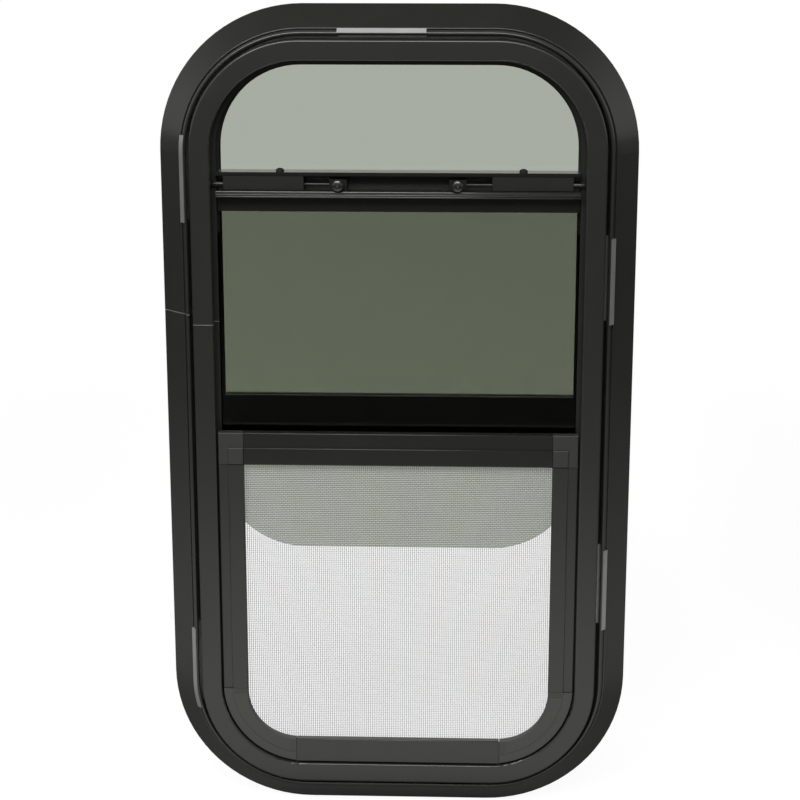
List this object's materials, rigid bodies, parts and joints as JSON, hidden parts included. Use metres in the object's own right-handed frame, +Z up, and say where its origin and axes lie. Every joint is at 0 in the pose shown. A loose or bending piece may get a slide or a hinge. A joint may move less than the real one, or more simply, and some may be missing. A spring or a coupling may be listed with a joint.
{
  "type": "caravan window with raised sash and insect screen",
  "caption": "Vertical-slide caravan window with radius corners, clamp trim ring, fixed upper pane, raised latching sash and lift-out insect screen.",
  "frame": {"origin": "middle of the flange's width at the bottom, on the flange's wall side", "axes": "+Z up, +X to the right seen from the room, -Y into the room, +Y to the outside"},
  "size_m": [0.346, 0.0536, 0.6125],
  "materials": {
    "black_frame": "satin black powder coat",
    "black_ring": "satin black powder coat",
    "clip_metal": "dull grey",
    "glass": "clear with a faint green-grey tint",
    "rubber": "matt black rubber",
    "pile": "black woven pile",
    "sash_metal": "satin black powder coat",
    "latch_plastic": "black moulded plastic",
    "screen_metal": "satin black paint",
    "screen_plastic": "black moulded plastic",
    "mesh": "grey fibreglass weave"
  },
  "bodies": {
    "root": {"main_frame": "black_frame", "trim_ring": "black_ring", "ring_clip_top": "clip_metal", "ring_clip_upper_left": "clip_metal", "ring_clip_upper_right": "clip_metal", "ring_clip_lower_left": "clip_metal", "ring_clip_lower_right": "clip_metal", "fixed_glass": "glass", "glazing_gasket": "rubber", "meeting_rail": "black_frame", "meeting_rail_pile": "pile", "run_channel": "rubber", "latch_strip_left": "black_frame", "latch_strip_right": "black_frame", "sash_glass": "glass", "sash_rail": "sash_metal", "sash_rail_gasket": "rubber", "latch_cover_left": "latch_plastic", "latch_cover_right": "latch_plastic", "latch_bolt_left": "latch_plastic", "latch_bolt_right": "latch_plastic", "latch_knob_left": "latch_plastic", "latch_knob_right": "latch_plastic", "rail_button_left": "rubber", "rail_button_right": "rubber", "screen_top_rail": "screen_metal", "screen_stile_left": "screen_metal", "screen_stile_right": "screen_metal", "screen_bottom_rail": "screen_metal", "screen_corner_top_left": "screen_plastic", "screen_corner_top_right": "screen_plastic", "screen_corner_bottom_left": "screen_plastic", "screen_corner_bottom_right": "screen_plastic", "screen_spline": "rubber", "screen_bug_seal": "pile", "screen_mesh": "mesh", "weep_cover_left": "rubber", "weep_cover_right": "rubber"}
  },
  "joints": []
}
